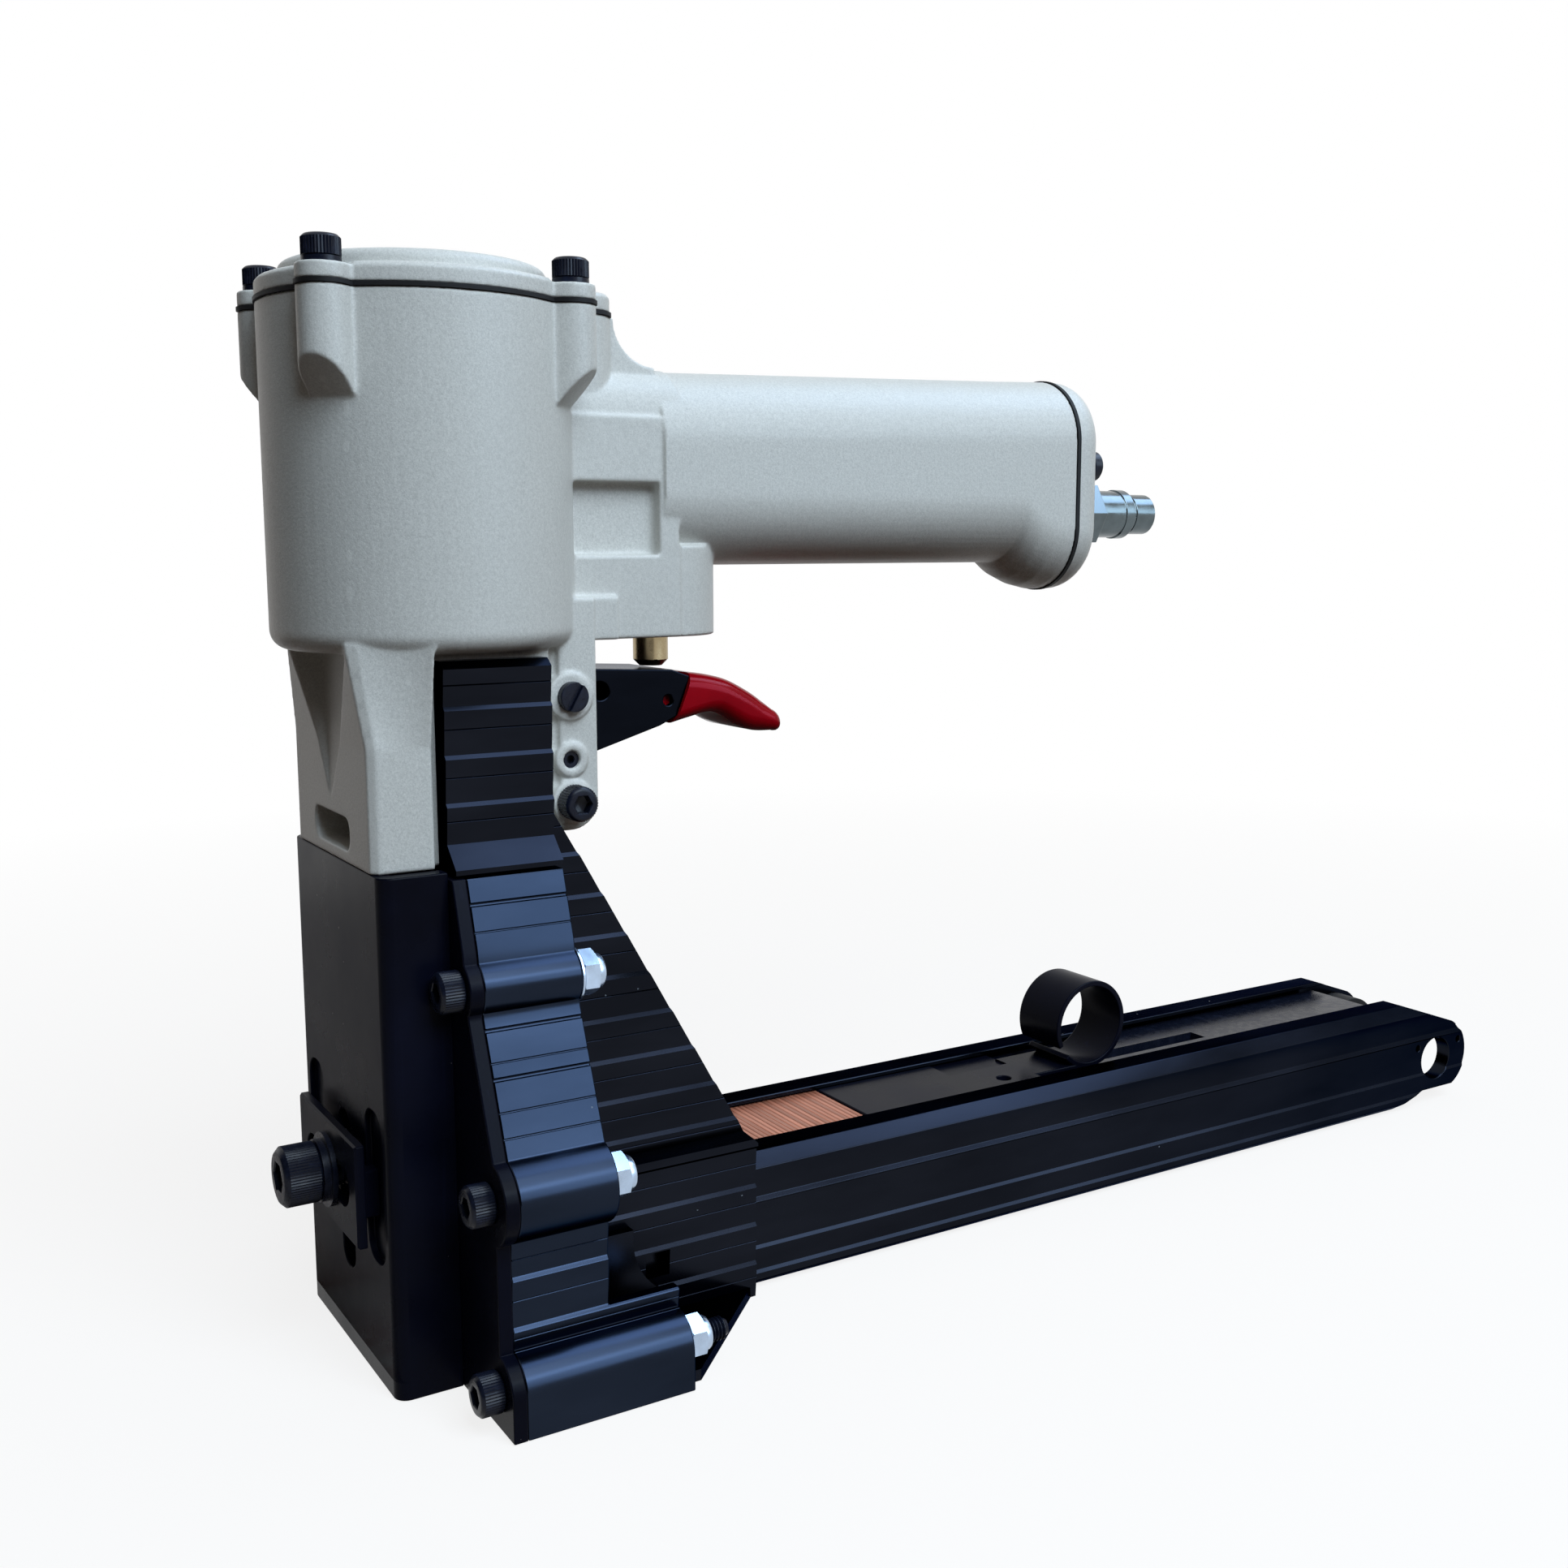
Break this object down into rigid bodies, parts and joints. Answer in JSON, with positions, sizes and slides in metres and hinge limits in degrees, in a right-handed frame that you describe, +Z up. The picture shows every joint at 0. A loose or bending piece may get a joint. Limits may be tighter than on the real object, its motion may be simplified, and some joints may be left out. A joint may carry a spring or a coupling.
{
  "type": "pneumatic carton stapler",
  "caption": "Hand-held pneumatic stapler with a barrel over ribbed clincher wings, a long straight staple magazine behind the nose, a hollow handle and a lever trigger.",
  "frame": {"origin": "middle of the bounding box at the level of the sole", "axes": "+X runs from the nose back along the magazine, +Y to the right seen from behind the handle, +Z up"},
  "size_m": [0.3634, 0.114, 0.2299],
  "materials": {
    "cast_paint": "sand-textured champagne silver paint",
    "black_anodised": "black anodised extrusion",
    "black_paint": "black paint, slightly worn",
    "black_oxide": "black oxide",
    "zinc": "bright zinc plating",
    "bare_steel": "ground steel",
    "spring_steel": "drawn steel",
    "brass_metal": "turned brass",
    "copper_wire": "copper coated wire",
    "red_grip": "glossy dipped vinyl",
    "gasket_rubber": "black rubber sheet",
    "liner_metal": "hard anodised and honed",
    "valve_plastic": "moulded acetal"
  },
  "bodies": {
    "frame": {"nose_cover": "black_paint", "front_plate": "black_paint", "driver_guide": "bare_steel", "rear_guide": "bare_steel", "wing_plate_right": "black_anodised", "wing_plate_left": "black_anodised", "clincher_cover_right": "black_anodised", "clincher_cover_left": "black_anodised", "housing_bolts": "black_oxide", "housing_washers": "zinc", "housing_nuts": "zinc", "clincher_pins": "bare_steel", "body_casting": "cast_paint", "cap_gasket": "gasket_rubber", "top_cap": "cast_paint", "cap_washers": "black_oxide", "cap_screws": "black_oxide", "cylinder_liner": "liner_metal", "bumper": "gasket_rubber", "head_valve_spring": "spring_steel", "end_cap_gasket": "gasket_rubber", "handle_end_cap": "cast_paint", "end_cap_screws": "black_oxide", "air_plug": "zinc", "valve_bush": "brass_metal", "stem_spring": "spring_steel", "trigger_pivot": "black_oxide", "ear_bolts": "black_oxide", "ear_set_screws": "black_oxide", "magazine_rail_right": "black_anodised", "magazine_rail_left": "black_anodised", "staple_core": "black_oxide", "staples": "copper_wire", "feed_axle": "bare_steel", "feed_ribbon": "spring_steel", "end_buffer": "gasket_rubber"},
    "depth_stop": {"stop_plate": "black_paint", "stop_bolt": "black_oxide", "stop_flat_washer": "black_oxide", "stop_spring_washer": "black_oxide", "stop_nut": "bare_steel"},
    "piston_driver": {"piston": "liner_metal", "piston_seal": "gasket_rubber", "driver_blade": "bare_steel"},
    "claw_right": {"clincher_arm_right": "bare_steel"},
    "claw_left": {"clincher_arm_left": "bare_steel"},
    "trigger_lever": {"trigger": "black_paint", "trigger_grip": "red_grip"},
    "valve_stem_slide": {"valve_stem": "brass_metal"},
    "head_valve_slide": {"head_valve": "valve_plastic"},
    "pusher_slide": {"pusher": "black_paint"},
    "feed_drum_spin": {"feed_drum": "valve_plastic"}
  },
  "joints": [
    {"name": "depth_stop_slide", "type": "slide", "parent": "frame", "child": "depth_stop", "axis": [0, 0, 1], "range_m": [-0.0025, 0.008]},
    {"name": "piston_stroke", "type": "slide", "parent": "frame", "child": "piston_driver", "axis": [0, 0, -1], "range_m": [0, 0.034]},
    {"name": "claw_right_turn", "type": "hinge", "parent": "frame", "child": "claw_right", "pos_m": [-0.14575, 0.027, 0.012], "axis": [-1, 0, 0], "range_deg": [0, 90]},
    {"name": "claw_left_turn", "type": "hinge", "parent": "frame", "child": "claw_left", "pos_m": [-0.14575, -0.027, 0.012], "axis": [1, 0, 0], "range_deg": [0, 90]},
    {"name": "trigger_pull", "type": "hinge", "parent": "frame", "child": "trigger_lever", "pos_m": [-0.12085, 0, 0.141], "axis": [0, -1, 0], "range_deg": [0, 6], "stiffness_Nm_per_rad": 2, "springref_deg": -8.59},
    {"name": "valve_stem_lift", "type": "slide", "parent": "frame", "child": "valve_stem_slide", "axis": [0, 0, 1], "range_m": [0, 0.0032], "deforming": ["stem_spring"]},
    {"name": "head_valve_lift", "type": "slide", "parent": "frame", "child": "head_valve_slide", "axis": [0, 0, 1], "range_m": [0, 0.003], "deforming": ["head_valve_spring"]},
    {"name": "pusher_feed", "type": "slide", "parent": "frame", "child": "pusher_slide", "axis": [1, 0, 0], "range_m": [0, 0.12], "stiffness_N_per_m": 20, "springref_m": -0.25, "deforming": ["feed_ribbon"]},
    {"name": "feed_drum_turn", "type": "hinge", "parent": "frame", "child": "feed_drum_spin", "pos_m": [-0.12525, 0, 0.0136], "axis": [0, 1, 0], "range_deg": [0, 755]}
  ],
  "couplings": [
    {"joint": "claw_right_turn", "follows": "piston_stroke", "rad_per_m": 46.199},
    {"joint": "claw_left_turn", "follows": "piston_stroke", "rad_per_m": 46.199},
    {"joint": "valve_stem_lift", "follows": "trigger_pull", "m_per_rad": 0.03046},
    {"joint": "head_valve_lift", "follows": "trigger_pull", "m_per_rad": 0.02855},
    {"joint": "feed_drum_turn", "follows": "pusher_feed", "rad_per_m": 109.29}
  ]
}
